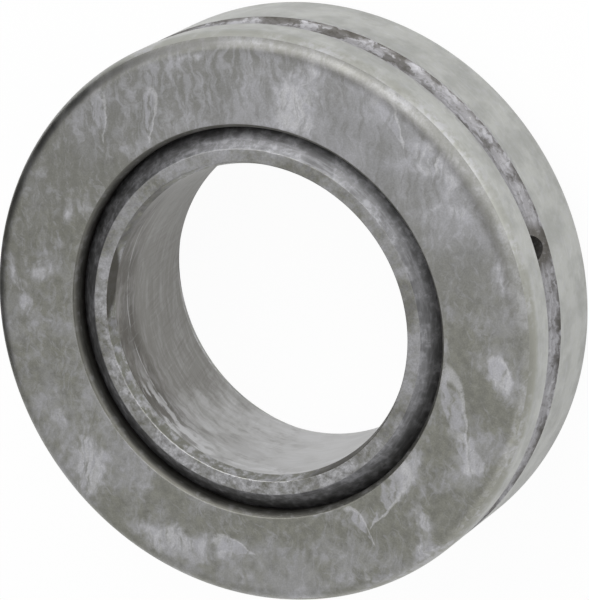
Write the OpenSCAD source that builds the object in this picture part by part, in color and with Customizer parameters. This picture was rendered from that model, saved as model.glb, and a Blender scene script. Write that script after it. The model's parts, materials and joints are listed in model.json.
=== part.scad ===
// Angular contact spherical plain bearing, 30 mm bore.
// The inner ring is a truncated ball with a plain bore. The outer ring is a socket that wraps
// the ball from its large end up to the small face, so the ring can swivel on the ball.
// The bearing lies on the inner ring's large face, and its axis is +Z.

/* [Bearing] */
// Diameter of the shaft bore
bore_d = 30; // [20:0.5:60]
// Width of the bearing and of its inner ring
bearing_w = 17; // [14:0.5:20]
// How far the outer ring's open face lies above the inner ring's large face
open_face_rise = 2; // [1.7:0.1:4]

/* [Ball and socket] */
// Width of the small face, from the bore to the ball
small_face_w = 1.63; // [1:0.01:3]
// How far the ball's centre lies outside the inner ring's large face
ball_offset = 1.33; // [0.6:0.01:2]
// Running gap between the ball and the socket, on the radius
ball_gap = 0.05; // [0.02:0.01:0.1]
// Wall of the outer ring at the widest circle of the ball
socket_wall = 2.75; // [2.5:0.05:6]
// Gap from the small face to the mouth in the wide face, where the ball shows
mouth_gap = 1.92; // [1.6:0.01:3]

/* [Outer ring] */
// Depth of the mouth's rounded edge, measured on the radius
mouth_edge_depth = 0.4; // [0.2:0.05:0.5]
// Length of the mouth's rounded edge, measured along the axis
mouth_edge_length = 0.9; // [0.6:0.1:1.1]
// Chamfer where the socket opens towards the inner ring's large face
socket_chamfer = 0.4; // [0.2:0.1:0.6]
// Depth of the lead-in corner at the wide face, measured on the radius
lead_in_depth = 1.2; // [0.8:0.1:1.4]
// Length of the lead-in corner at the wide face, measured along the axis
lead_in_length = 1.85; // [1.4:0.05:2.2]
// Radius of the crowned surface of the lead-in corner
lead_in_crown = 3; // [2.4:0.1:6]
// Rounding of the rim at the open side
rim_round = 0.6; // [0.3:0.1:0.8]

/* [Lubrication] */
// Distance from the wide face to the middle of the groove in the rim
rim_groove_place = 6; // [5:0.25:8]
// Width of the groove in the rim
rim_groove_w = 3.2; // [2.6:0.1:3.6]
// Depth of the groove in the rim
rim_groove_depth = 0.9; // [0.5:0.1:1.2]
// Diameter of the holes from the rim groove to the socket
oil_hole_d = 2.5; // [1.5:0.1:3]
// Number of those holes
oil_holes = 2; // [1:1:4]
// Width of the groove that spreads the grease in the socket
socket_groove_w = 3; // [2:0.1:3.6]
// Depth of the groove in the socket
socket_groove_depth = 0.5; // [0.3:0.1:0.8]

/* [Inner ring] */
// Depth of the bore's lead-in at the small face, measured on the radius
small_lead_in_depth = 0.35; // [0.2:0.05:0.45]
// Length of the bore's lead-in at the small face
small_lead_in_length = 1.2; // [0.6:0.1:2]
// Depth of the bore's lead-in at the large face, measured on the radius
large_lead_in_depth = 0.85; // [0.4:0.05:1.2]
// Length of the bore's lead-in at the large face
large_lead_in_length = 2; // [1:0.1:3]
// Chamfer between the large face and the ball
large_edge_chamfer = 0.6; // [0.3:0.1:1]

/* [Hidden] */
$fn = 180;

// Share of the overall width that a cut reaches past the surface that it opens
overrun_share = 0.06;
overrun = bearing_w * overrun_share;
steel_grey = [0.53, 0.54, 0.51];
bore_grey = [0.47, 0.47, 0.47];

// The ball runs through the outer edge of the small face, and both rings are sized from it.
// The sizes above give a ball 49.5 mm and an outer ring 55 mm in diameter.
bore_r = bore_d / 2;
small_face_r = bore_r + small_face_w;
ball_r = norm([small_face_r, bearing_w + ball_offset]);
socket_r = ball_r + ball_gap;
outer_r = ball_r + socket_wall;
mouth_r = small_face_r + mouth_gap;
rim_groove_z = bearing_w - rim_groove_place;
oil_rise = rim_groove_z + ball_offset;
socket_groove_angle = asin(oil_rise / socket_r);

// Radius of the arc across a width w that rises by depth in its middle
function arc_radius(w, depth) = (w * w / 4 + depth * depth) / (2 * depth);

// The square corner of a section outside an arc of radius r. The arc joins the two
// points at depth and length from the corner, which lies at the origin with the metal
// below it and to its left.
module corner_waste(depth, length, r) {
    chord = norm([depth, length]);
    chord_to_centre = sqrt(r * r - chord * chord / 4);
    centre = [
        -depth / 2 - chord_to_centre * length / chord,
        -length / 2 - chord_to_centre * depth / chord
    ];
    difference() {
        polygon([
            [-depth, 0],
            [-depth, overrun],
            [overrun, overrun],
            [overrun, -length],
            [0, -length]
        ]);
        translate(centre) circle(r);
    }
}

// Half section of the outer ring before the socket is cut. The mouth's edge is an arc that runs
// into the wall of the mouth, and the crowned corner helps the ring into its housing.
module outer_blank_section() {
    mouth_edge_r = arc_radius(2 * mouth_edge_length, mouth_edge_depth);
    difference() {
        translate([mouth_r, open_face_rise]) square([outer_r - mouth_r, bearing_w - open_face_rise]);
        translate([outer_r, bearing_w]) corner_waste(lead_in_depth, lead_in_length, lead_in_crown);
        translate([outer_r, open_face_rise]) mirror([0, 1]) corner_waste(rim_round, rim_round, rim_round);
        translate([mouth_r, bearing_w]) mirror([1, 0])
            corner_waste(mouth_edge_depth, mouth_edge_length, mouth_edge_r);
        rim_groove_section();
    }
}

// Round-floored groove in the rim
module rim_groove_section() {
    r = arc_radius(rim_groove_w, rim_groove_depth);
    translate([outer_r + r - rim_groove_depth, rim_groove_z]) circle(r);
}

// Round-floored groove in the socket, where the oil holes come out
module socket_groove_section() {
    r = arc_radius(socket_groove_w, socket_groove_depth);
    reach = socket_r + socket_groove_depth - r;
    place = [reach * cos(socket_groove_angle), reach * sin(socket_groove_angle) - ball_offset];
    translate(place) circle(r);
}

// Chamfer where the socket meets the open face
module socket_mouth_section() {
    lip_rise = open_face_rise + ball_offset;
    lip_r = sqrt(socket_r * socket_r - lip_rise * lip_rise);
    polygon([
        [lip_r - overrun, open_face_rise - overrun],
        [lip_r + socket_chamfer + overrun, open_face_rise - overrun],
        [lip_r - overrun, open_face_rise + socket_chamfer + overrun]
    ]);
}

module outer_ring() {
    color(steel_grey) difference() {
        rotate_extrude() outer_blank_section();
        translate([0, 0, -ball_offset]) sphere(socket_r);
        rotate_extrude() socket_groove_section();
        rotate_extrude() socket_mouth_section();
        for (i = [0 : oil_holes - 1])
            rotate(i * 360 / oil_holes)
                translate([0, 0, rim_groove_z]) rotate([0, 90, 0])
                    cylinder(d = oil_hole_d, h = outer_r + overrun);
    }
}

// Slab that the ball is cut to, with its large edge chamfered
module inner_blank_section() {
    large_r = sqrt(ball_r * ball_r - ball_offset * ball_offset);
    polygon([
        [0, 0],
        [large_r - large_edge_chamfer, 0],
        [large_r + overrun, large_edge_chamfer + overrun],
        [large_r + overrun, bearing_w],
        [0, bearing_w]
    ]);
}

// Shaft bore with a lead-in at each end
module bore_section() {
    polygon([
        [0, -overrun],
        [bore_r + large_lead_in_depth * (1 + overrun / large_lead_in_length), -overrun],
        [bore_r, large_lead_in_length],
        [bore_r, bearing_w - small_lead_in_length],
        [bore_r + small_lead_in_depth * (1 + overrun / small_lead_in_length), bearing_w + overrun],
        [0, bearing_w + overrun]
    ]);
}

module inner_ring() {
    color(bore_grey) difference() {
        intersection() {
            translate([0, 0, -ball_offset]) sphere(ball_r);
            rotate_extrude() inner_blank_section();
        }
        rotate_extrude() bore_section();
    }
}

outer_ring();
inner_ring();
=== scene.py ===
import json
import math

import bpy
from bpy.props import FloatProperty, FloatVectorProperty, IntProperty, PointerProperty
from mathutils import Matrix, Vector


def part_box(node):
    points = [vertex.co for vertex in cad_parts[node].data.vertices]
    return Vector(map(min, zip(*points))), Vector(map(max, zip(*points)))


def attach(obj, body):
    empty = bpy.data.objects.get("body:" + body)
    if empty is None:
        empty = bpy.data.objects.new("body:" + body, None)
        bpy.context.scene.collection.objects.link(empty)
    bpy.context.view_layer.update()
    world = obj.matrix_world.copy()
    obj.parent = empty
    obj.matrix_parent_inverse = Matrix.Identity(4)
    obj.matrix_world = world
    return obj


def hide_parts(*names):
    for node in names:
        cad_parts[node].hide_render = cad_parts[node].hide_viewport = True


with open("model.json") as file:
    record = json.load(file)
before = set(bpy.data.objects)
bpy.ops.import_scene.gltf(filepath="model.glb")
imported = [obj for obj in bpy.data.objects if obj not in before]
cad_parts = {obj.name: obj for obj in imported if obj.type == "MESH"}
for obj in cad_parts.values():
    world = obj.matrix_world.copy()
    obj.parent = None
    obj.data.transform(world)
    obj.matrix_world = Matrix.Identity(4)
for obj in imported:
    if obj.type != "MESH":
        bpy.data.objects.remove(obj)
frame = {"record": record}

bl_info = {
    "name": "Angular contact spherical plain bearing",
    "version": (1, 0, 0),
    "blender": (4, 5, 0),
    "location": "3D View > Sidebar > Bearing",
    "description": "Turned rings with a phosphated finish, built round the packed bearing",
    "category": "Object",
}

MM = 0.001
WELD = 0.001 * MM
FLOOR_GAP = 0.05 * MM
# Half a side of the table, which reaches far enough for low views
TABLE = 5000 * MM
# The point that the camera looks at
AIM = (-0.25 * MM, 0.03 * MM, 8.5 * MM)
SHARP_ANGLE = math.radians(35)
# From the wide face to the middle of the rim groove, in mm
GROOVE_PLACE = 6.0
MOUNTS = {m["name"]: m for m in frame["record"]["mounts"]}
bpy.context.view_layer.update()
WIDE_FACE_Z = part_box("outer_ring")[1].z
OPEN_FACE_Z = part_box("outer_ring")[0].z
BORE_R = MOUNTS["bore"]["dims"]["r_mm"] * MM
RIM_R = MOUNTS["rim"]["dims"]["r_mm"] * MM
GROOVE_Z = WIDE_FACE_Z - GROOVE_PLACE * MM


def srgb(hex_colour):
    """Linear red, green, blue and alpha of an sRGB colour such as #7f7f78."""
    parts = [int(hex_colour[i:i + 2], 16) / 255 for i in (1, 3, 5)]
    return [c / 12.92 if c <= 0.04045 else ((c + 0.055) / 1.055) ** 2.4 for c in parts] + [1.0]


def length(name, text, default):
    """A size in millimetres, kept in metres."""
    return FloatProperty(
        name=name, description=text, default=default * MM, min=0.0, unit="LENGTH", precision=5)


def colour(name, text, default):
    """A colour given as sRGB hex."""
    return FloatVectorProperty(
        name=name, description=text, default=srgb(default), size=4, subtype="COLOR", min=0, max=1)


def angle(name, text, default):
    """An angle in degrees, kept in radians."""
    return FloatProperty(name=name, description=text, default=math.radians(default), subtype="ANGLE")


def level(name, text, default, high=100.0):
    """A brightness or a share of it, where 1 is white."""
    return FloatProperty(name=name, description=text, default=default, min=0.0, max=high, subtype="FACTOR")


class BearingSizes(bpy.types.PropertyGroup):
    """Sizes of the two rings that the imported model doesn't state."""
    small_face_w: length("Small face", "Width of the small face, from the bore to the ball", 1.63)
    ball_offset: length("Ball offset", "How far the ball's centre lies under the large face", 1.33)
    ball_gap: length("Ball gap", "Gap between the ball and the socket", 0.05)
    mouth_gap: length("Mouth gap", "Gap from the small face to the mouth in the wide face", 1.92)
    mouth_edge_depth: length("Mouth edge depth", "Depth of the mouth's rounded edge, on the radius", 0.4)
    mouth_edge_length: length("Mouth edge length", "Length of the mouth's rounded edge, on the axis", 0.9)
    socket_chamfer: length("Socket chamfer", "Chamfer where the socket opens", 0.4)
    lead_in_depth: length("Lead-in depth", "Depth of the corner at the wide face", 1.2)
    lead_in_length: length("Lead-in length", "Length of the corner at the wide face", 1.85)
    lead_in_crown: length("Lead-in crown", "Radius of the crowned corner", 3.0)
    shoulder: length("Shoulder", "Length of the wide face that rounds into the crowned corner", 0.5)
    rim_round: length("Rim rounding", "Rounding of the rim at the open side", 0.6)
    groove_place: length("Groove place", "From the wide face to the middle of the rim groove", GROOVE_PLACE)
    groove_w: length("Groove width", "Width of the groove in the rim", 3.2)
    groove_depth: length("Groove depth", "Depth of the groove in the rim", 0.9)
    socket_groove_w: length("Socket groove width", "Width of the groove in the socket", 3.0)
    socket_groove_depth: length("Socket groove depth", "Depth of the groove in the socket", 0.5)
    oil_hole_d: length("Oil hole", "Diameter of the holes in the rim groove", 2.5)
    small_lead_in_depth: length("Small lead-in depth", "Bore lead-in at the small face, on the radius", 0.35)
    small_lead_in_length: length("Small lead-in length", "Bore lead-in at the small face, on the axis", 1.2)
    large_lead_in_depth: length("Large lead-in depth", "Bore lead-in at the large face, on the radius", 0.85)
    large_lead_in_length: length("Large lead-in length", "Bore lead-in at the large face, on the axis", 2.0)
    large_edge_chamfer: length("Large edge chamfer", "Chamfer between the large face and the ball", 0.6)
    edge_break: length("Edge break", "Rounding that the finishing leaves on each sharp edge", 0.09)
    arc_step: length("Arc step", "Longest straight step along a curved section", 0.35)
    oil_holes: IntProperty(name="Oil holes", description="Number of oil holes", default=2, min=1, max=8)
    around: IntProperty(
        name="Steps around", description="Faces around each ring", default=360, min=24, max=720)


class BearingFinish(bpy.types.PropertyGroup):
    """Colours of the phosphated and ground surfaces."""
    coat: colour("Coat", "Phosphate coat on the ground faces", "#a2a299")
    # Dark coat also paints shade on the crowned corner, on the face and on the rim
    coat_dark_and_shade: colour("Dark coat", "Darker clouds in that coat", "#8f8f88")
    coat_grey: colour("Grey coat", "Cooler coat on one side of the face and on the small face", "#a2a2a2")
    wash: colour("Wash mark", "Film that the wash water leaves", "#c8c8cd")
    # Tide line also paints light on the low side of the bore
    tide_and_light: colour("Tide line", "Thin pale edge of a wash mark, chalk and wiped lines", "#dfdfe1")
    rim: colour("Rim", "Turned rim and crowned corner", "#bcbdb9")
    rim_dark: colour("Dark rim", "Darker clouds on the rim", "#a9aaa6")
    groove: colour("Groove", "Thick coat in the rim groove", "#9b9a9c")
    # Stain also paints shade in the bore, on the lead-ins and along the face's edge
    stain_and_shade: colour("Stain", "Thin or stained places of the coat", "#5b5852")
    # The mouth colour is the coat darkened as painted shade
    mouth: colour("Mouth", "Coat on the mouth's rounded edge", "#7a7973")
    # Grease is painted shade in the socket's gap, and old grease in clouds on the ball
    grease_and_gap_shade: colour("Grease", "Painted shade in the gap between the socket and the ball, and old grease on the ball", "#4b4844")
    ball: colour("Ball", "Polished ball", "#8c8c8e")
    # Dark ball also paints a shade line along the wide face's edge
    ball_dark_and_shade: colour("Dark ball", "Darker clouds on the ball", "#747475")
    bore: colour("Bore", "Honed bore", "#a7a7a4")
    # Dark bore also paints shade on one side of the bore
    bore_dark_and_shade: colour("Dark bore", "Brown-grey stains in the bore", "#7f7c77")


class BearingStage(bpy.types.PropertyGroup):
    """Camera and lamps."""
    lens: FloatProperty(
        name="Lens", description="Focal length for a 36 mm sensor", default=274.15, subtype="DISTANCE_CAMERA")
    distance: length("Distance", "From the camera to the point that it looks at", 431.75)
    azimuth: angle("Azimuth", "Way to the camera, from +X towards +Y", -163.34)
    elevation: angle("Elevation", "Height of the camera above the floor", 61.34)
    roll: angle("Roll", "Turn of the picture about the line of sight", -121.86)
    room: level("Room", "Brightness of the pale room", 0.557)
    high_box: level("High softbox", "Brightness of the softbox high at the picture's top", 2.1)
    side_box: level("Side softbox", "Brightness of the low softbox at the picture's right", 1.15)
    left_box: level("Left softbox", "Brightness of the low softbox at the picture's left", 0.6)
    low_box: level("Low softbox", "Brightness of the low softbox at the picture's bottom", 0.7)
    glow_seen: level("Glow seen", "Share of the table that the camera sees as plain white", 0.96, 1.0)
    glow_mirrored: level("Glow mirrored", "Share of the table that the metal mirrors as white", 0.42, 1.0)


def add(tree, kind, settings=None, **inputs):
    """Adds a node, sets its properties, and sets or links its inputs by name or by index as in i0."""
    node = tree.nodes.new(kind)
    for name, value in (settings or {}).items():
        setattr(node, name, value)
    for name, value in inputs.items():
        key = int(name[1:]) if name[0] == "i" and name[1:].isdigit() else name.replace("_", " ")
        socket = node.inputs[key]
        if isinstance(value, bpy.types.NodeSocket):
            tree.links.new(value, socket)
        else:
            socket.default_value = value
    return node


def placed(name, data):
    """A new object, linked to the scene."""
    thing = bpy.data.objects.new(name, data)
    bpy.context.scene.collection.objects.link(thing)
    return thing


def direction(azimuth, elevation):
    """The way out from the bearing at an azimuth and an elevation in radians."""
    flat = math.cos(elevation)
    return Vector((math.cos(azimuth) * flat, math.sin(azimuth) * flat, math.sin(elevation)))


def arc(centre, radius, start, end, step):
    """Points along an arc, from the angle start to the angle end in radians, about a step apart."""
    count = max(2, math.ceil(abs(end - start) * radius / step))
    angles = [start + (end - start) * i / count for i in range(count + 1)]
    return [(centre[0] + radius * math.cos(a), centre[1] + radius * math.sin(a)) for a in angles]


def angle_to(centre, point):
    """Angle of a point seen from a centre, in radians."""
    return math.atan2(point[1] - centre[1], point[0] - centre[0])


def crowned(start, end, radius, shoulder, step):
    """Points along the crown of a radius from the rim at start to the face at end. The shoulder is the length
    of the face that rounds into it, and the curve keeps within 0.07 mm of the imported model's plain arc."""
    rise_share, round_share = 0.59, 0.6
    a, b = Vector(start), Vector(end)
    chord = b - a
    left = Vector((-chord.y, chord.x)).normalized()
    centre = (a + b) / 2 + left * math.sqrt(radius ** 2 - chord.length_squared / 4)
    from_centre = a - centre
    rising_line = Vector((-from_centre.y, from_centre.x)).normalized()
    pulls = [
        a, a + rising_line * chord.length * rise_share,
        b + Vector((round_share * shoulder, 0.0)), b - Vector((shoulder, 0.0))]
    count = math.ceil((chord.length + shoulder) / step)
    points = []
    for i in range(count + 1):
        t = i / count
        weights = ((1 - t) ** 3, 3 * (1 - t) ** 2 * t, 3 * (1 - t) * t ** 2, t ** 3)
        points.append(tuple(sum((w * p for w, p in zip(weights, pulls)), Vector((0.0, 0.0)))))
    return points


def ease(corner, before, after, size, steps=4):
    """Replaces a sharp corner by a small round, with a point on each side that keeps the flats flat."""
    p = Vector(corner)
    back, on = (Vector(before) - p).normalized(), (Vector(after) - p).normalized()
    flat = 1.5 * size
    points = [p + back * flat]
    for i in range(steps + 1):
        t = i / steps
        points.append(p + back * size * (1 - t) ** 2 + on * size * t ** 2)
    points.append(p + on * flat)
    return [tuple(q) for q in points]


def outline(stretches, size):
    """Joins stretches of (points, finish) into one closed section, with each joint between them eased.
    Returns the points and, for each, the finish of the face that follows it."""
    points, finishes = [], []
    count = len(stretches)
    for k, (stretch, finish) in enumerate(stretches):
        following, next_finish = stretches[(k + 1) % count]
        for p in stretch[1:-1]:
            points.append(p)
            finishes.append(finish)
        round_points = ease(stretch[-1], stretch[-2], following[1], size)
        middle = len(round_points) // 2
        for i, p in enumerate(round_points):
            points.append(p)
            finishes.append(finish if i < middle else next_finish)
    points.append(points[0])
    finishes.append(finishes[0])
    return points, finishes


FACE, RIM, GROOVE, SOCKET = range(4)
BALL, BORE, END, LEAD_IN = range(4)


def arc_radius(width, depth):
    """Radius of the arc across a width that rises by depth in its middle."""
    return (width ** 2 / 4 + depth ** 2) / (2 * depth)


def outer_section(s):
    """Half section of the outer ring as stretches of (radius, height), anticlockwise."""
    small_face_r = BORE_R + s.small_face_w
    ball_r = math.hypot(small_face_r, WIDE_FACE_Z + s.ball_offset)
    socket_r = ball_r + s.ball_gap
    mouth_r = small_face_r + s.mouth_gap
    centre = (0.0, -s.ball_offset)

    def on_socket(z):
        return math.sqrt(socket_r ** 2 - (z + s.ball_offset) ** 2)

    lip_z = OPEN_FACE_Z + s.socket_chamfer
    mouth_z = math.sqrt(socket_r ** 2 - mouth_r ** 2) - s.ball_offset
    lip = (on_socket(lip_z), lip_z)
    open_edge = (on_socket(OPEN_FACE_Z) + s.socket_chamfer, OPEN_FACE_Z)
    groove_z = WIDE_FACE_Z - s.groove_place

    floor_r = arc_radius(s.socket_groove_w, s.socket_groove_depth)
    groove_angle = math.asin((groove_z + s.ball_offset) / socket_r)
    reach = socket_r + s.socket_groove_depth - floor_r
    half = math.acos((socket_r ** 2 + reach ** 2 - floor_r ** 2) / (2 * socket_r * reach))
    lower_socket = arc(centre, socket_r, angle_to(centre, lip), groove_angle - half, s.arc_step)
    upper_socket = arc(
        centre, socket_r, groove_angle + half, angle_to(centre, (mouth_r, mouth_z)), s.arc_step)
    floor_centre = (reach * math.cos(groove_angle), reach * math.sin(groove_angle) - s.ball_offset)
    socket_groove = arc(
        floor_centre, floor_r, angle_to(floor_centre, lower_socket[-1]),
        angle_to(floor_centre, upper_socket[0]), s.arc_step)

    edge_r = arc_radius(2 * s.mouth_edge_length, s.mouth_edge_depth)
    edge_centre = (mouth_r + edge_r, WIDE_FACE_Z - s.mouth_edge_length)
    edge_top = (mouth_r + s.mouth_edge_depth, WIDE_FACE_Z)
    mouth_edge = arc(edge_centre, edge_r, math.pi, angle_to(edge_centre, edge_top), s.arc_step / 4)
    crown = crowned(
        (RIM_R, WIDE_FACE_Z - s.lead_in_length), (RIM_R - s.lead_in_depth, WIDE_FACE_Z),
        s.lead_in_crown, s.shoulder, s.arc_step / 2)
    # The rim's finish ends at two fifths of the crown
    half_crown = len(crown) * 2 // 5
    rim_floor_r = arc_radius(s.groove_w, s.groove_depth)
    swing = math.asin(s.groove_w / 2 / rim_floor_r)
    rim_groove = arc(
        (RIM_R + rim_floor_r - s.groove_depth, groove_z), rim_floor_r, math.pi + swing, math.pi - swing,
        s.arc_step / 2)
    rim_corner = arc(
        (RIM_R - s.rim_round, OPEN_FACE_Z + s.rim_round), s.rim_round, -math.pi / 2, 0, s.rim_round / 5)

    return [
        ([open_edge, rim_corner[0]], FACE),
        (rim_corner, RIM),
        ([rim_corner[-1], rim_groove[0]], RIM),
        (rim_groove, GROOVE),
        ([rim_groove[-1], crown[0]], RIM),
        (crown[:half_crown + 1], RIM),
        (crown[half_crown:], FACE),
        ([crown[-1], mouth_edge[-1]], FACE),
        (mouth_edge[::-1], SOCKET),
        ([mouth_edge[0], (mouth_r, mouth_z)], SOCKET),
        (upper_socket[::-1], SOCKET),
        (socket_groove[::-1], SOCKET),
        (lower_socket[::-1], SOCKET),
        ([lip, open_edge], SOCKET),
    ]


def inner_section(s):
    """Half section of the inner ring as stretches of (radius, height), anticlockwise."""
    small_face_r = BORE_R + s.small_face_w
    ball_r = math.hypot(small_face_r, WIDE_FACE_Z + s.ball_offset)
    centre = (0.0, -s.ball_offset)
    large_r = math.sqrt(ball_r ** 2 - s.ball_offset ** 2)
    edge_line = large_r - s.large_edge_chamfer
    # The chamfer is the line r = edge_line + z, which meets the ball where this holds
    b = edge_line + s.ball_offset
    c = edge_line ** 2 + s.ball_offset ** 2 - ball_r ** 2
    edge_z = (-b + math.sqrt(b ** 2 - 2 * c)) / 2
    edge = (edge_line + edge_z, edge_z)
    small = (small_face_r, WIDE_FACE_Z)
    ball = arc(centre, ball_r, angle_to(centre, edge), angle_to(centre, small), s.arc_step)
    small_bore = (BORE_R + s.small_lead_in_depth, WIDE_FACE_Z)
    large_bore = (BORE_R + s.large_lead_in_depth, 0.0)
    bore_top = (BORE_R, WIDE_FACE_Z - s.small_lead_in_length)
    bore_foot = (BORE_R, s.large_lead_in_length)
    return [
        ([large_bore, (edge_line, 0.0)], END),
        ([(edge_line, 0.0), edge], BALL),
        (ball, BALL),
        ([small, small_bore], END),
        ([small_bore, bore_top], LEAD_IN),
        ([bore_top, bore_foot], BORE),
        ([bore_foot, large_bore], LEAD_IN),
    ]


def section_object(name, points, finishes):
    """A loose edge chain in the plane Y = 0 that holds a ring's half section."""
    mesh = bpy.data.meshes.new(name)
    mesh.from_pydata([(r, 0.0, z) for r, z in points], [(i, i + 1) for i in range(len(points) - 1)], [])
    finish = mesh.attributes.new("finish", "INT", "POINT")
    finish.data.foreach_set("value", finishes)
    return placed(name, mesh)


def new_tree(name, inputs):
    """A Geometry Nodes tree that takes a section and the named inputs, given as (name, socket type)."""
    tree = bpy.data.node_groups.new(name, "GeometryNodeTree")
    tree.is_modifier = True
    tree.interface.new_socket(name="Section", in_out="INPUT", socket_type="NodeSocketGeometry")
    for label, kind in inputs:
        tree.interface.new_socket(name=label, in_out="INPUT", socket_type=kind)
    tree.interface.new_socket(name="Ring", in_out="OUTPUT", socket_type="NodeSocketGeometry")
    return tree, add(tree, "NodeGroupInput"), add(tree, "NodeGroupOutput")


def turned_ring(tree, section, around):
    """Turns a half section into a closed ring of quads. Each face keeps the finish of its row."""
    size = add(tree, "GeometryNodeAttributeDomainSize", {"component": "MESH"}, Geometry=section)
    columns = add(tree, "FunctionNodeIntegerMath", {"operation": "ADD"}, i0=around, i1=1).outputs[0]
    grid = add(tree, "GeometryNodeMeshGrid", Vertices_X=size.outputs["Point Count"], Vertices_Y=columns)
    index = add(tree, "GeometryNodeInputIndex").outputs[0]

    finish = add(tree, "GeometryNodeInputNamedAttribute", {"data_type": "INT"}, Name="finish").outputs[0]
    face_row = add(tree, "FunctionNodeIntegerMath", {"operation": "DIVIDE_FLOOR"}, i0=index, i1=around)
    row_finish = add(tree, "GeometryNodeSampleIndex", {"data_type": "INT", "domain": "POINT"},
                     Geometry=section, Value=finish, Index=face_row.outputs[0]).outputs[0]
    finished = add(tree, "GeometryNodeStoreNamedAttribute", {"data_type": "INT", "domain": "FACE"},
                   Geometry=grid.outputs["Mesh"], Name="finish", Value=row_finish).outputs[0]

    position = add(tree, "GeometryNodeInputPosition").outputs[0]
    row = add(tree, "FunctionNodeIntegerMath", {"operation": "DIVIDE_FLOOR"}, i0=index, i1=columns)
    place = add(tree, "GeometryNodeSampleIndex", {"data_type": "FLOAT_VECTOR", "domain": "POINT"},
                Geometry=section, Value=position, Index=row.outputs[0]).outputs[0]
    # Clockwise, so that the faces look outward
    step = add(tree, "ShaderNodeMath", {"operation": "DIVIDE"}, i0=-2 * math.pi, i1=around).outputs[0]
    column = add(tree, "FunctionNodeIntegerMath", {"operation": "MODULO"}, i0=index, i1=columns).outputs[0]
    turn = add(tree, "ShaderNodeMath", {"operation": "MULTIPLY"}, i0=column, i1=step).outputs[0]
    turned = add(tree, "ShaderNodeVectorRotate", {"rotation_type": "Z_AXIS"}, Vector=place, Angle=turn)
    moved = add(tree, "GeometryNodeSetPosition", Geometry=finished, Position=turned.outputs[0]).outputs[0]
    return add(tree, "GeometryNodeMergeByDistance", Geometry=moved, Distance=WELD).outputs[0]


def drilled(tree, ring, holes, diameter, height, reach):
    """Drills holes in the ring from outside, evenly spaced, with the first on +X."""
    sides, middle_share = 64, 1.7
    radius = add(tree, "ShaderNodeMath", {"operation": "DIVIDE"}, i0=diameter, i1=2.0).outputs[0]
    drill = add(tree, "GeometryNodeMeshCylinder", Vertices=sides, Depth=reach, Radius=radius)
    out = add(tree, "ShaderNodeMath", {"operation": "MULTIPLY"}, i0=reach, i1=middle_share).outputs[0]
    place = add(tree, "ShaderNodeCombineXYZ", X=out, Z=height).outputs[0]
    lying = add(tree, "GeometryNodeTransform", Geometry=drill.outputs["Mesh"], Translation=place,
                Rotation=(0.0, math.pi / 2, 0.0)).outputs[0]
    marked = add(tree, "GeometryNodeStoreNamedAttribute", {"data_type": "INT", "domain": "FACE"},
                 Geometry=lying, Name="finish", Value=GROOVE).outputs[0]
    points = add(tree, "GeometryNodePoints", Count=holes).outputs[0]
    index = add(tree, "GeometryNodeInputIndex").outputs[0]
    spacing = add(tree, "ShaderNodeMath", {"operation": "DIVIDE"}, i0=2 * math.pi, i1=holes).outputs[0]
    bearing = add(tree, "ShaderNodeMath", {"operation": "MULTIPLY"}, i0=index, i1=spacing).outputs[0]
    turn = add(tree, "FunctionNodeAxisAngleToRotation", Axis=(0.0, 0.0, 1.0), Angle=bearing).outputs[0]
    drills = add(tree, "GeometryNodeInstanceOnPoints", Points=points, Instance=marked, Rotation=turn)
    solid_drills = add(tree, "GeometryNodeRealizeInstances", Geometry=drills.outputs[0]).outputs[0]
    return add(tree, "GeometryNodeMeshBoolean", {"operation": "DIFFERENCE", "solver": "EXACT"},
               i0=ring, i1=solid_drills).outputs["Mesh"]


def finished_ring(tree, ring, materials):
    """Shades the ring smooth up to its sharp edges and gives each finish its material."""
    edge_angle = add(tree, "GeometryNodeInputMeshEdgeAngle").outputs["Unsigned Angle"]
    sharp = add(tree, "FunctionNodeCompare", {"data_type": "FLOAT", "operation": "GREATER_THAN"},
                i0=edge_angle, i1=SHARP_ANGLE).outputs[0]
    smooth = add(tree, "GeometryNodeSetShadeSmooth", {"domain": "FACE"}, Geometry=ring).outputs[0]
    creased = add(tree, "GeometryNodeSetShadeSmooth", {"domain": "EDGE"}, Geometry=smooth, Selection=sharp,
                  Shade_Smooth=False).outputs[0]
    result = add(tree, "GeometryNodeRealizeInstances", Geometry=creased).outputs[0]
    finish = add(tree, "GeometryNodeInputNamedAttribute", {"data_type": "INT"}, Name="finish").outputs[0]
    for number, material in enumerate(materials):
        match = add(tree, "FunctionNodeCompare", {"data_type": "INT", "operation": "EQUAL"},
                    i2=finish, i3=number).outputs[0]
        result = add(tree, "GeometryNodeSetMaterial", Geometry=result, Selection=match,
                     Material=material).outputs[0]
    return result


def make_piece(name, section, tree, values, body, node):
    """Runs a tree on a section, keeps the result as a plain mesh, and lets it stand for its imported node."""
    modifier = section.modifiers.new("Ring", "NODES")
    modifier.node_group = tree
    sockets = {i.name: i.identifier for i in tree.interface.items_tree if i.in_out == "INPUT"}
    for label, value in values.items():
        modifier[sockets[label]] = value
    bpy.context.view_layer.update()
    evaluated = section.evaluated_get(bpy.context.evaluated_depsgraph_get())
    mesh = bpy.data.meshes.new_from_object(evaluated)
    if not mesh.polygons:
        raise RuntimeError(f"the tree made no faces for {name}")
    mesh.name = name
    piece = placed(name, mesh)
    bpy.data.objects.remove(section)
    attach(piece, body)
    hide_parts(node)
    return piece


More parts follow.
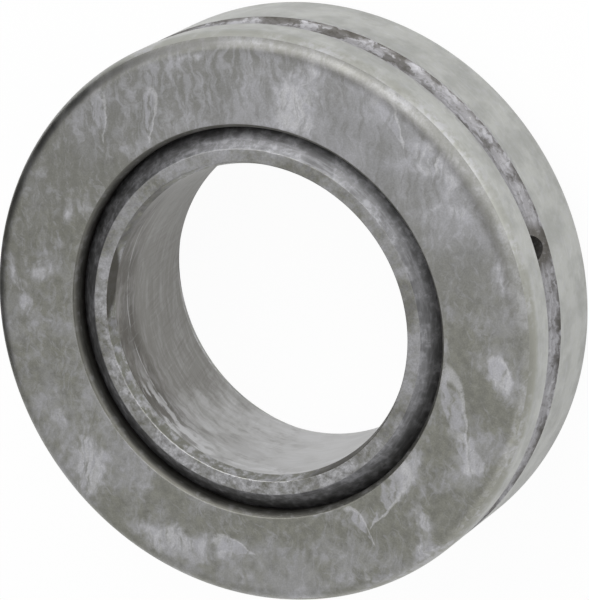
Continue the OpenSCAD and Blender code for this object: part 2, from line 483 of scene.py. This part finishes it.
# Dried wash marks on the wide face: middle (x, y) in mm, turn in degrees, half length and half width in mm,
# and strength
WASH_MARKS = (
    (20.5, 7, 80, 4, 1.6, 0.12), (23.5, 5.5, 70, 3, 0.8, 0.16), (-12, -20, 60, 4.5, 2.4, 0.2),
    (-6, -22, 80, 3.5, 1.8, 0.13), (-22, -13, 110, 5, 2.4, 0.2), (-24, -7, 100, 3.5, 1.6, 0.17),
    (-26, 2, 95, 5, 0.7, 0.2), (-22.5, 9.5, 60, 1.8, 1.3, 0.2), (-17, 14, 100, 4.6, 1, 0.2),
    (-9, 18, 40, 4, 0.9, 0.19), (-4, 21, 100, 2.6, 0.8, 0.15), (0, 23, 0, 2.2, 0.7, 0.12),
    (9, 20, 20, 2.6, 0.8, 0.17), (14, 19, 150, 4.5, 1.8, 0.19), (20.5, 13, 120, 3.6, 1.8, 0.13),
    (22.8, -8, 92, 3, 0.5, 0.18), (14.5, -21, 135, 1.6, 0.8, 0.17), (5.5, -23, 80, 2.6, 0.7, 0.13),
)

# Drips that dried with a pale outline: middle (x, y) in mm, way to the tip in degrees, half length and half
# width in mm
DRIPS = (
    (9.2, -22.4, 82, 2.4, 1.15), (4.2, -21.2, 70, 2.6, 1), (-17, 13, 85, 4.8, 1.6),
    (-8, 18.6, 45, 3.6, 1.5), (-4.4, 20.8, 115, 2.1, 0.8), (-22.6, 9.7, 100, 1.7, 1.4),
    (9.2, 20.4, 150, 2, 1.1), (-19.5, -15.5, 100, 2.6, 1.2),
)


def empty_material(name):
    """A material without nodes, and its tree."""
    material = bpy.data.materials.new(name)
    material.use_nodes = True
    material.node_tree.nodes.clear()
    return material, material.node_tree


def start_material(name):
    """An empty material, with its tree and the place on the bearing in millimetres."""
    material, tree = empty_material(name)
    where = add(tree, "ShaderNodeTexCoord").outputs["Object"]
    place = add(tree, "ShaderNodeVectorMath", {"operation": "SCALE"}, Vector=where, Scale=1 / MM).outputs[0]
    return material, tree, place


def end_material(tree, colour, smooth, rough, wear, height, relief):
    """Metal that goes from smooth to rough with a wear pattern. Its height, from 0 to 1, stands for a relief
    in mm."""
    roughness = add(tree, "ShaderNodeMapRange", Value=wear, From_Min=0.35, From_Max=0.65, To_Min=smooth,
                    To_Max=rough).outputs[0]
    bump = add(tree, "ShaderNodeBump", Strength=1.0, Distance=relief * MM, Height=height).outputs[0]
    surface = add(tree, "ShaderNodeBsdfPrincipled", Base_Color=colour, Metallic=1.0, Roughness=roughness,
                  Normal=bump)
    add(tree, "ShaderNodeOutputMaterial", Surface=surface.outputs[0])


def clouds(tree, place, size, stretch=(1, 1, 1), turn=(0, 0, 0), detail=4.0, roughness=0.6):
    """Clouds of a size in mm, from 0 to 1 with 0.5 in the middle, drawn out by the stretch along axes turned
    by degrees."""
    turned = add(tree, "ShaderNodeMapping", {"vector_type": "TEXTURE"}, Vector=place,
                 Rotation=[math.radians(a) for a in turn], Scale=[size * s for s in stretch]).outputs[0]
    noise = add(tree, "ShaderNodeTexNoise", Vector=turned, Scale=1.0, Detail=detail, Roughness=roughness)
    return noise.outputs[0]


def bent(tree, place, size, amount):
    """The place, pushed about by up to an amount in mm, so that what is drawn on it gets a wavering edge."""
    push = add(tree, "ShaderNodeTexNoise", Vector=place, Scale=1 / size, Detail=3.0).outputs["Color"]
    centred = add(tree, "ShaderNodeVectorMath", {"operation": "SUBTRACT"}, i0=push, i1=(0.5, 0.5, 0.5))
    return add(tree, "ShaderNodeVectorMath", {"operation": "MULTIPLY_ADD"}, i0=centred.outputs[0],
               i1=(2 * amount,) * 3, i2=place).outputs[0]


def rising(tree, *steps):
    """A mask that is 1 where each pattern has gone from its low to its high value. A high below the low turns
    it round."""
    mask = None
    for pattern, low, high in steps:
        step = add(tree, "ShaderNodeMapRange", {"interpolation_type": "SMOOTHSTEP"}, Value=pattern,
                   From_Min=low, From_Max=high).outputs[0]
        if mask is not None:
            step = add(tree, "ShaderNodeMath", {"operation": "MULTIPLY"}, i0=mask, i1=step).outputs[0]
        mask = step
    return mask


def coated(tree, base, *coats):
    """Lays coats over a base colour. Each is (colour, share that it covers at most, steps of its mask)."""
    for colour, most, *steps in coats:
        mask = rising(tree, *steps)
        share = add(tree, "ShaderNodeMath", {"operation": "MULTIPLY"}, i0=mask, i1=most).outputs[0]
        base = add(tree, "ShaderNodeMix", {"data_type": "RGBA"}, i0=share, i6=base, i7=colour).outputs[2]
    return base


def toward(tree, place, degrees):
    """How far a place lies out from the axis in one direction, in mm."""
    a = math.radians(degrees)
    return add(tree, "ShaderNodeVectorMath", {"operation": "DOT_PRODUCT"}, i0=place,
               i1=(math.cos(a), math.sin(a), 0.0)).outputs["Value"]


def washed(tree, place, size, marks=()):
    """Where wash water stood: clouds of a size in mm, raised by its strength at each mark."""
    wavering = bent(tree, place, size * 0.7, size * 0.4)
    field = clouds(tree, wavering, size, detail=3.0, roughness=0.55)
    for x, y, turn, half_length, half_width, strength in marks:
        local = add(tree, "ShaderNodeMapping", {"vector_type": "TEXTURE"}, Vector=wavering,
                    Location=(x, y, WIDE_FACE_Z / MM), Rotation=(0.0, 0.0, math.radians(turn)),
                    Scale=(half_length, half_width, 1.0)).outputs[0]
        away = add(tree, "ShaderNodeVectorMath", {"operation": "LENGTH"}, Vector=local).outputs["Value"]
        lift = add(tree, "ShaderNodeMapRange", {"interpolation_type": "SMOOTHSTEP"}, Value=away, From_Min=0.2,
                   From_Max=1.8, To_Min=strength, To_Max=0.0).outputs[0]
        field = add(tree, "ShaderNodeMath", {"operation": "ADD"}, i0=field, i1=lift).outputs[0]
    return field


def dripped(tree, place, drips):
    """Outlines and insides of drips, from 0 to 1. A drip narrows towards its tip and dries thickest along one
    side."""
    lines = insides = 0.0
    for x, y, turn, half_length, half_width in drips:
        local = add(tree, "ShaderNodeMapping", {"vector_type": "TEXTURE"}, Vector=place,
                    Location=(x, y, WIDE_FACE_Z / MM), Rotation=(0.0, 0.0, math.radians(turn)),
                    Scale=(half_length, half_width, 4.0)).outputs[0]
        along, across, _ = add(tree, "ShaderNodeSeparateXYZ", Vector=local).outputs
        width = add(tree, "ShaderNodeMath", {"operation": "MULTIPLY_ADD"}, i0=along, i1=-0.45, i2=0.6)
        narrowed = add(tree, "ShaderNodeMath", {"operation": "DIVIDE"}, i0=across,
                       i1=width.outputs[0]).outputs[0]
        shape = add(tree, "ShaderNodeCombineXYZ", X=along, Y=narrowed).outputs[0]
        away = add(tree, "ShaderNodeVectorMath", {"operation": "LENGTH"}, Vector=shape).outputs["Value"]
        line = rising(tree, (away, 0.62, 0.95), (away, 1.22, 1.0), (narrowed, -1.1, 0.3))
        inside = rising(tree, (away, 1.05, 0.8))
        lines = add(tree, "ShaderNodeMath", {"operation": "MAXIMUM"}, i0=lines, i1=line).outputs[0]
        insides = add(tree, "ShaderNodeMath", {"operation": "MAXIMUM"}, i0=insides, i1=inside).outputs[0]
    return lines, insides


def out_from_axis(tree, place):
    """Distance from the axis in mm."""
    flat = add(tree, "ShaderNodeVectorMath", {"operation": "MULTIPLY"}, i0=place, i1=(1.0, 1.0, 0.0))
    return add(tree, "ShaderNodeVectorMath", {"operation": "LENGTH"}, Vector=flat.outputs[0]).outputs["Value"]


def apart(tree, value, middle):
    """How far a value lies from a middle value, either way."""
    above = add(tree, "ShaderNodeMath", {"operation": "SUBTRACT"}, i0=value, i1=middle).outputs[0]
    return add(tree, "ShaderNodeMath", {"operation": "ABSOLUTE"}, i0=above).outputs[0]


def face_finish(finish):
    """Ground, then phosphated: a dull crystal coat that gives broad soft highlights, olive-grey where it is
    clean and lilac-white where wash water dried. The crystals are drawn coarser than they are, so that they
    show."""
    material, tree, place = start_material("ground phosphated steel")
    wavering = bent(tree, place, 2.4, 1.3)
    crystals = clouds(tree, place, 0.17, detail=2)
    mottle = clouds(tree, place, 0.8, detail=5, roughness=0.7)
    region = clouds(tree, place, 5)
    smears = clouds(tree, wavering, 1, (4, 0.5, 1), (0, 0, 62), detail=5, roughness=0.65)
    wipes = clouds(tree, wavering, 0.8, (4.5, 0.45, 1), (0, 0, 118))
    streaks = clouds(tree, wavering, 0.9, (2.6, 0.6, 1), (0, 0, 77), roughness=0.55)
    field = washed(tree, place, 4, WASH_MARKS)
    small = washed(tree, place, 1.5)
    outline, inside = dripped(tree, bent(tree, place, 1.5, 0.5), DRIPS)
    cool, radius = toward(tree, place, 240), out_from_axis(tree, place)
    left, right = toward(tree, place, 285), toward(tree, place, 212)
    edge = RIM_R / MM

    colour = coated(
        tree, finish.coat_dark_and_shade,
        (finish.coat, 1, (mottle, 0.3, 0.7)),
        (finish.coat_grey, 0.9, (cool, 2, 20)),
        (finish.wash, 0.35, (region, 0.46, 0.66)),
        (finish.wash, 0.4, (cool, 9, 23), (streaks, 0.36, 0.62)),
        (finish.wash, 0.3, (toward(tree, place, 45), 15, 24), (region, 0.36, 0.6)),
        (finish.wash, 0.4, (smears, 0.48, 0.66), (region, 0.36, 0.55)),
        (finish.wash, 0.35, (wipes, 0.52, 0.68), (streaks, 0.4, 0.6)),
        (finish.coat_dark_and_shade, 0.5, (toward(tree, place, 295), 13, 20), (streaks, 0.64, 0.42)),
        (finish.wash, 0.85, (field, 0.56, 0.76), (streaks, 0.24, 0.6)),
        (finish.tide_and_light, 0.6, (field, 0.64, 0.78), (smears, 0.4, 0.56)),
        (finish.wash, 0.45, (small, 0.54, 0.66), (region, 0.4, 0.6)),
        (finish.wash, 0.7, (inside, 0, 1), (streaks, 0.34, 0.56)),
        (finish.tide_and_light, 0.6, (outline, 0.1, 1), (mottle, 0.32, 0.5)),
        (finish.tide_and_light, 0.35, (crystals, 0.66, 0.78), (small, 0.5, 0.6)),
        (finish.stain_and_shade, 0.22, (mottle, 0.42, 0.26), (small, 0.55, 0.4)),
        # Painted shade: the crowned corner darker on the side towards 240 degrees, which tones its highlight
        # down
        (finish.coat_dark_and_shade, 0.6, (radius, edge - 2, edge - 1), (cool, 0, 14)),
        # Painted shade along the face's edge: a dark line on the side towards 285 degrees, and a dark band on
        # the side towards 212 degrees
        (finish.ball_dark_and_shade, 0.5, (radius, edge - 1.4, edge - 1), (radius, edge - 0.4, edge - 0.8),
         (left, 17.5, 24)),
        (finish.stain_and_shade, 0.3, (radius, edge - 2.3, edge - 1.6), (radius, edge - 0.8, edge - 1.4),
         (right, 15, 24)),
        (finish.wash, 0.4, (radius, edge - 1.3, edge - 0.8), (region, 0.46, 0.6), (mottle, 0.4, 0.58),
         (right, 15, 24)),
        (finish.stain_and_shade, 0.14, (crystals, 0.35, 0.65)))
    end_material(tree, colour, 0.42, 0.58, field, crystals, 0.005)
    return material


def rim_finish(finish):
    """Turned, then phosphated: paler than the face, with faint lines round it and chalky scuffs. The groove's
    coat has spilt over its edges."""
    material, tree, place = start_material("turned phosphated steel")
    height = add(tree, "ShaderNodeSeparateXYZ", Vector=place).outputs[2]
    wavering = bent(tree, place, 1.6, 0.7)
    lines = clouds(tree, place, 1, (5, 5, 0.22), detail=5, roughness=0.7)
    scuffs = clouds(tree, wavering, 0.7, (3, 3, 0.4), (38, -20, 0), detail=5, roughness=0.65)
    mottle = clouds(tree, place, 0.7, detail=5, roughness=0.7)
    region = clouds(tree, place, 3.6)
    off_groove = apart(tree, height, GROOVE_Z / MM)
    crown, cool = WIDE_FACE_Z / MM - 1.8, toward(tree, place, 240)

    colour = coated(
        tree, finish.rim_dark,
        (finish.rim, 1, (region, 0.36, 0.64)),
        (finish.wash, 0.35, (mottle, 0.45, 0.7)),
        (finish.tide_and_light, 0.18, (lines, 0.5, 0.72)),
        (finish.tide_and_light, 0.4, (scuffs, 0.56, 0.7), (region, 0.48, 0.62)),
        (finish.coat, 0.5, (height, crown - 0.1, crown + 0.5)),
        (finish.coat, 0.7, (height, crown - 0.1, crown + 0.5), (cool, 18, 6)),
        # Painted shade: the middle of the crown darker, except on the side towards 240 degrees, which tones
        # its highlight down
        (finish.coat_dark_and_shade, 0.6, (height, crown + 0.1, crown + 0.9), (cool, 16, 2)),
        (finish.wash, 0.6, (mottle, 0.36, 0.6), (region, 0.45, 0.6), (height, crown - 0.1, crown + 0.5)),
        (finish.groove, 0.75, (off_groove, 2.5, 1.6), (scuffs, 0.46, 0.56),
         (toward(tree, place, 225), 20, 26)),
        (finish.stain_and_shade, 0.12, (mottle, 0.5, 0.3)))
    end_material(tree, colour, 0.38, 0.54, mottle, lines, 0.002)
    return material


def groove_finish(finish):
    """Left as turned, then phosphated: a thick patchy coat that scatters the light, lilac on the high places,
    with brown-black patches and edges where it is thin, and brown round the oil holes."""
    material, tree, place = start_material("rough phosphated groove")
    radius = out_from_axis(tree, place)
    wavering = bent(tree, place, 0.8, 0.35)
    patches = clouds(tree, wavering, 1.5, (2, 2, 0.8))
    lines = clouds(tree, wavering, 0.6, (4, 4, 0.4))
    mottle = clouds(tree, place, 0.55, roughness=0.65)
    # Distance from the line along X that the two oil holes lie on
    from_holes = add(tree, "ShaderNodeVectorMath", {"operation": "MULTIPLY_ADD"}, i0=place,
                     i1=(0, 1, 1), i2=(0, 0, -GROOVE_Z / MM)).outputs[0]
    off_holes = add(tree, "ShaderNodeVectorMath", {"operation": "LENGTH"}, Vector=from_holes).outputs["Value"]
    edge = RIM_R / MM

    colour = coated(
        tree, finish.groove,
        (finish.wash, 0.45, (lines, 0.42, 0.66)),
        (finish.stain_and_shade, 0.5, (mottle, 0.5, 0.3)),
        (finish.stain_and_shade, 0.6, (patches, 0.54, 0.64)),
        (finish.stain_and_shade, 0.7, (patches, 0.46, 0.52), (toward(tree, place, 238), 24.5, 26.5)),
        (finish.stain_and_shade, 0.6, (radius, edge - 0.38, edge - 0.05), (lines, 0.6, 0.44)),
        (finish.stain_and_shade, 0.85, (off_holes, 2.9, 1.6), (mottle, 0.3, 0.5)),
        (finish.tide_and_light, 0.3, (mottle, 0.6, 0.7), (patches, 0.56, 0.46)))
    end_material(tree, colour, 0.5, 0.7, patches, mottle, 0.03)
    return material


def socket_finish(finish):
    """Ground and phosphated socket: the coat on the mouth's rounded edge, darkened as painted shade, and
    below it a near-black painted shade for the gap between the rings.
    """
    material, tree, place = start_material("phosphated socket in painted shade")
    height = add(tree, "ShaderNodeSeparateXYZ", Vector=place).outputs[2]
    mottle = clouds(tree, place, 0.9)
    top = WIDE_FACE_Z / MM
    # Painted shade: darker than the coat on the mouth's rounded edge, going near-black below it into the gap
    # between the rings
    colour = coated(
        tree, finish.grease_and_gap_shade,
        (finish.mouth, 1, (height, top - 1.6, top - 0.9)),
        (finish.coat_dark_and_shade, 0.3, (height, top - 0.2, top)),
        (finish.wash, 0.2, (mottle, 0.5, 0.66), (height, top - 1, top - 0.6)))
    end_material(tree, colour, 0.42, 0.58, mottle, mottle, 0.004)
    return material


def ball_finish(finish):
    """Ground, polished and phosphated ball: it takes a soft reflection, with short lines round it and darker
    clouds than the faces have."""
    material, tree, place = start_material("polished phosphated ball")
    lines = clouds(tree, place, 1, (2.5, 2.5, 0.2), roughness=0.65)
    mottle = clouds(tree, place, 0.8, detail=5, roughness=0.7)
    region = clouds(tree, place, 2.6)
    colour = coated(
        tree, finish.ball_dark_and_shade,
        (finish.ball, 1, (region, 0.35, 0.65)),
        (finish.wash, 0.25, (lines, 0.45, 0.7)),
        (finish.wash, 0.45, (mottle, 0.44, 0.62), (region, 0.42, 0.58)),
        (finish.grease_and_gap_shade, 0.35, (mottle, 0.42, 0.28)))
    end_material(tree, colour, 0.44, 0.6, mottle, lines, 0.002)
    return material


def bore_finish(finish):
    """Honed, then phosphated: the smoothest surface, with fine lines that lean both ways. It is darker and
    browner on one side as painted shade, and paler towards the low side as painted light, with pale wipe
    marks and chalk by the lead-in."""
    material, tree, place = start_material("honed phosphated bore")
    height = add(tree, "ShaderNodeSeparateXYZ", Vector=place).outputs[2]
    wavering = bent(tree, place, 2, 0.8)
    lines = clouds(tree, place, 1, (5, 5, 0.45), (8, -13, 0), detail=6, roughness=0.7)
    wipes = clouds(tree, bent(tree, place, 5, 0.5), 0.6, (0.5, 0.5, 12), (-14, 0, 0))
    mottle = clouds(tree, wavering, 1.1, (3, 3, 0.7), (12, -9, 0), detail=5)
    region = clouds(tree, wavering, 3.5)
    # Directions for the painted shade on one side of the bore and the painted light on its low side
    shaded_side, low = toward(tree, place, -12), toward(tree, place, 82)
    # A thin pale line round part of the bore
    off_seam = apart(tree, height, WIDE_FACE_Z / MM - 3.7)

    colour = coated(
        tree, finish.bore,
        (finish.bore_dark_and_shade, 0.4, (region, 0.56, 0.36)),
        (finish.bore_dark_and_shade, 0.3, (lines, 0.5, 0.36)),
        # Painted shade: the side towards -12 degrees darker and browner, most of all near the small end
        (finish.bore_dark_and_shade, 0.5, (shaded_side, 6, 13), (region, 0.34, 0.54)),
        (finish.bore_dark_and_shade, 0.6, (shaded_side, 7, 13.5), (height, 9, 12.6)),
        (finish.stain_and_shade, 0.7, (shaded_side, 6, 12.5), (height, 11, 12.9), (region, 0.34, 0.56)),
        (finish.tide_and_light, 0.14, (lines, 0.5, 0.7)),
        (finish.tide_and_light, 0.2, (mottle, 0.45, 0.7)),
        (finish.tide_and_light, 0.12, (wipes, 0.54, 0.7), (region, 0.4, 0.6), (shaded_side, 2, 10)),
        (finish.bore_dark_and_shade, 0.3, (wipes, 0.5, 0.34), (shaded_side, 0, 8), (height, 12, 7)),
        (finish.tide_and_light, 0.5, (mottle, 0.3, 0.7), (region, 0.4, 0.6), (toward(tree, place, 58), 10, 14.5)),
        # Painted light: the low side of the bore paler
        (finish.tide_and_light, 0.5, (low, 8, 15)),
        (finish.stain_and_shade, 0.3, (mottle, 0.52, 0.36), (low, 5, 11), (region, 0.56, 0.42),
         (toward(tree, place, 100), 14.5, 12)),
        (finish.tide_and_light, 0.8, (mottle, 0.44, 0.58), (low, 2, 8), (height, 12.6, 14.6), (region, 0.38, 0.5)),
        (finish.tide_and_light, 0.5, (off_seam, 0.12, 0.02), (shaded_side, 8, 12), (mottle, 0.42, 0.54)))
    end_material(tree, colour, 0.31, 0.45, mottle, lines, 0.0012)
    return material


def end_finish(finish):
    """Ground small face: the same coat as on the wide face, with stronger specks and smears from handling."""
    material, tree, place = start_material("ground phosphated end face")
    wavering = bent(tree, place, 1.2, 0.5)
    crystals = clouds(tree, place, 0.18, detail=3, roughness=0.65)
    mottle = clouds(tree, wavering, 0.55, roughness=0.65)
    region, low = clouds(tree, place, 2.6), toward(tree, place, 50)
    colour = coated(
        tree, finish.coat,
        (finish.coat_grey, 1, (mottle, 0.3, 0.66)),
        (finish.wash, 0.7, (region, 0.4, 0.64)),
        (finish.tide_and_light, 0.6, (mottle, 0.46, 0.62), (region, 0.42, 0.58), (low, -4, 8)),
        (finish.stain_and_shade, 0.4, (mottle, 0.5, 0.34), (low, 0, 8)),
        (finish.stain_and_shade, 0.3, (region, 0.46, 0.34)),
        (finish.stain_and_shade, 0.25, (crystals, 0.35, 0.65)))
    end_material(tree, colour, 0.37, 0.53, mottle, crystals, 0.005)
    return material


def lead_in_finish(finish):
    """Turned lead-ins of the bore: mottled by handling, with dark patches at a few places round them, painted
    shade for the dark they reflect.
    """
    material, tree, place = start_material("turned phosphated lead-in")
    mottle = clouds(tree, place, 0.9, detail=5, roughness=0.7)
    region = clouds(tree, place, 2.4)
    colour = coated(
        tree, finish.coat,
        (finish.wash, 1, (mottle, 0.4, 0.66)),
        (finish.tide_and_light, 0.6, (mottle, 0.48, 0.6), (region, 0.42, 0.56)),
        # Painted shade: dark patches round the lead-ins where they reflect a dark surround
        (finish.stain_and_shade, 0.9, (toward(tree, place, -27), 14.8, 15)),
        (finish.stain_and_shade, 0.6, (toward(tree, place, -58), 14.2, 14.9), (mottle, 0.3, 0.6)),
        (finish.stain_and_shade, 0.9, (toward(tree, place, 120), 12.6, 14.8)),
        (finish.stain_and_shade, 0.3, (region, 0.48, 0.38)))
    end_material(tree, colour, 0.4, 0.6, mottle, mottle, 0.006)
    return material


class BEARING_OT_outer_ring(bpy.types.Operator):
    """Makes the socket ring with its rim groove and oil holes"""
    bl_idname = "bearing.outer_ring"
    bl_label = "Outer ring"

    def execute(self, context):
        sizes = context.scene.bearing_sizes
        points, finishes = outline(outer_section(sizes), sizes.edge_break)
        section = section_object("outer_section", points, finishes)
        tree, entry, leave = new_tree("outer ring", [
            ("Steps around", "NodeSocketInt"), ("Oil holes", "NodeSocketInt"),
            ("Hole diameter", "NodeSocketFloat"), ("Hole height", "NodeSocketFloat"),
            ("Hole reach", "NodeSocketFloat")])
        section_in, around, holes, diameter, height, reach = entry.outputs[:6]
        ring = turned_ring(tree, section_in, around)
        ring = drilled(tree, ring, holes, diameter, height, reach)
        finish = context.scene.bearing_finish
        ring = finished_ring(tree, ring, [
            face_finish(finish), rim_finish(finish), groove_finish(finish), socket_finish(finish)])
        tree.links.new(ring, leave.inputs[0])
        make_piece("socket_ring", section, tree, {
            "Steps around": sizes.around, "Oil holes": sizes.oil_holes, "Hole diameter": sizes.oil_hole_d,
            "Hole height": WIDE_FACE_Z - sizes.groove_place, "Hole reach": RIM_R / 2,
        }, "outer", "outer_ring")
        return {"FINISHED"}


class BEARING_OT_inner_ring(bpy.types.Operator):
    """Makes the ball ring with its bore"""
    bl_idname = "bearing.inner_ring"
    bl_label = "Inner ring"

    def execute(self, context):
        sizes = context.scene.bearing_sizes
        points, finishes = outline(inner_section(sizes), sizes.edge_break)
        section = section_object("inner_section", points, finishes)
        tree, entry, leave = new_tree("inner ring", [("Steps around", "NodeSocketInt")])
        ring = turned_ring(tree, entry.outputs[0], entry.outputs[1])
        finish = context.scene.bearing_finish
        ring = finished_ring(tree, ring, [
            ball_finish(finish), bore_finish(finish), end_finish(finish), lead_in_finish(finish)])
        tree.links.new(ring, leave.inputs[0])
        make_piece("ball_ring", section, tree, {"Steps around": sizes.around},
                   "inner", "inner_ring")
        return {"FINISHED"}


def softbox(name, azimuth, elevation, reach, size, brightness):
    """A square softbox of a brightness, where 1 is white, aimed at the bearing from a direction in
    degrees."""
    data = bpy.data.lights.new(name, "AREA")
    data.shape = "SQUARE"
    data.size = size
    data.energy = brightness * math.pi * size ** 2
    lamp = placed(name, data)
    away = direction(math.radians(azimuth), math.radians(elevation))
    lamp.location = away * reach
    lamp.rotation_mode = "QUATERNION"
    lamp.rotation_quaternion = (-away).to_track_quat("-Z", "Y")


def black_flag(name, azimuth, reach, width, height):
    """A black card that stands on the table. Only the metal mirrors it, so that the far corner goes dark."""
    a = math.radians(azimuth)
    middle = Vector((math.cos(a), math.sin(a), 0.0)) * reach
    half = Vector((-math.sin(a), math.cos(a), 0.0)) * width / 2
    top = Vector((0.0, 0.0, height))
    mesh = bpy.data.meshes.new(name)
    corners = [middle - half, middle + half, middle + half + top, middle - half + top]
    mesh.from_pydata(corners, [], [(0, 1, 2, 3)])
    material, tree = empty_material(name)
    card = add(tree, "ShaderNodeBsdfDiffuse", Color=srgb("#181818"))
    add(tree, "ShaderNodeOutputMaterial", Surface=card.outputs[0])
    mesh.materials.append(material)
    flag = placed(name, mesh)
    flag.visible_camera = False
    flag.visible_diffuse = False
    flag.visible_shadow = False


def white_floor(name, glow_seen, glow_mirrored):
    """A white table. The camera and the metal see part of it as a light of its own, and the rest takes the
    shadow."""
    material, tree = empty_material(name)
    path = add(tree, "ShaderNodeLightPath")
    seen = add(tree, "ShaderNodeMath", {"operation": "MULTIPLY"},
               i0=path.outputs["Is Camera Ray"], i1=glow_seen)
    mirrored = add(tree, "ShaderNodeMath", {"operation": "ADD"},
                   i0=path.outputs["Is Glossy Ray"], i1=path.outputs["Is Transmission Ray"])
    share = add(tree, "ShaderNodeMath", {"operation": "MULTIPLY_ADD"},
                i0=mirrored.outputs[0], i1=glow_mirrored, i2=seen.outputs[0])
    table = add(tree, "ShaderNodeBsdfDiffuse", Color=srgb("#f2f2f2"))
    glow = add(tree, "ShaderNodeEmission", Color=srgb("#ffffff"), Strength=1.0)
    both = add(tree, "ShaderNodeMixShader", i0=share.outputs[0], i1=table.outputs[0], i2=glow.outputs[0])
    add(tree, "ShaderNodeOutputMaterial", Surface=both.outputs[0])
    return material


class BEARING_OT_stage(bpy.types.Operator):
    """Makes the white table, the softboxes and the camera"""
    bl_idname = "bearing.stage"
    bl_label = "Stage"

    def execute(self, context):
        scene = context.scene
        stage = scene.bearing_stage
        scene.view_settings.view_transform = "Standard"

        mesh = bpy.data.meshes.new("floor")
        corners = [(-TABLE, -TABLE), (TABLE, -TABLE), (TABLE, TABLE), (-TABLE, TABLE)]
        mesh.from_pydata([(x, y, -FLOOR_GAP) for x, y in corners], [], [(0, 1, 2, 3)])
        mesh.materials.append(white_floor("white table", stage.glow_seen, stage.glow_mirrored))
        placed("floor", mesh)

        world = bpy.data.worlds.new("studio")
        world.use_nodes = True
        scene.world = world
        world.node_tree.nodes.clear()
        background = add(world.node_tree, "ShaderNodeBackground", Color=srgb("#ffffff"), Strength=stage.room)
        add(world.node_tree, "ShaderNodeOutputWorld", Surface=background.outputs[0])

        reach = 300 * MM
        softbox("high softbox", -100, 46, reach, 290 * MM, stage.high_box)
        softbox("side softbox", -160, 8, reach, 320 * MM, stage.side_box)
        softbox("left softbox", -60, 20, reach, 200 * MM, stage.left_box)
        softbox("low softbox", 115, 16, reach, 200 * MM, stage.low_box)
        black_flag("black flag", -30, reach=50 * MM, width=70 * MM, height=40 * MM)

        data = bpy.data.cameras.new("camera")
        data.lens = stage.lens
        data.clip_start, data.clip_end = 10 * MM, 2 * TABLE
        camera = placed("camera", data)
        away = direction(stage.azimuth, stage.elevation)
        aimed = (-away).to_track_quat("-Z", "Y").to_matrix()
        rolled = (aimed @ Matrix.Rotation(stage.roll, 3, "Z")).to_4x4()
        camera.matrix_world = Matrix.Translation(Vector(AIM) + away * stage.distance) @ rolled
        scene.camera = camera
        return {"FINISHED"}


class BEARING_PT_panel(bpy.types.Panel):
    """Lists the bearing's operators and sizes"""
    bl_idname = "BEARING_PT_panel"
    bl_label = "Spherical plain bearing"
    bl_space_type = "VIEW_3D"
    bl_region_type = "UI"
    bl_category = "Bearing"

    def draw(self, context):
        for group in (context.scene.bearing_sizes, context.scene.bearing_finish, context.scene.bearing_stage):
            for name in group.bl_rna.properties.keys():
                if name not in ("rna_type", "name"):
                    self.layout.prop(group, name)
        for operator in (BEARING_OT_outer_ring, BEARING_OT_inner_ring, BEARING_OT_stage):
            self.layout.operator(operator.bl_idname)


CLASSES = (BearingSizes, BearingFinish, BearingStage, BEARING_OT_outer_ring, BEARING_OT_inner_ring,
           BEARING_OT_stage, BEARING_PT_panel)


def register():
    for cls in CLASSES:
        bpy.utils.register_class(cls)
    bpy.types.Scene.bearing_sizes = PointerProperty(type=BearingSizes)
    bpy.types.Scene.bearing_finish = PointerProperty(type=BearingFinish)
    bpy.types.Scene.bearing_stage = PointerProperty(type=BearingStage)


def unregister():
    del bpy.types.Scene.bearing_stage
    del bpy.types.Scene.bearing_finish
    del bpy.types.Scene.bearing_sizes
    for cls in reversed(CLASSES):
        bpy.utils.unregister_class(cls)


def main():
    """Builds the bearing and its stage."""
    register()
    bpy.ops.bearing.outer_ring()
    bpy.ops.bearing.inner_ring()
    bpy.ops.bearing.stage()


if __name__ == "__main__":
    main()
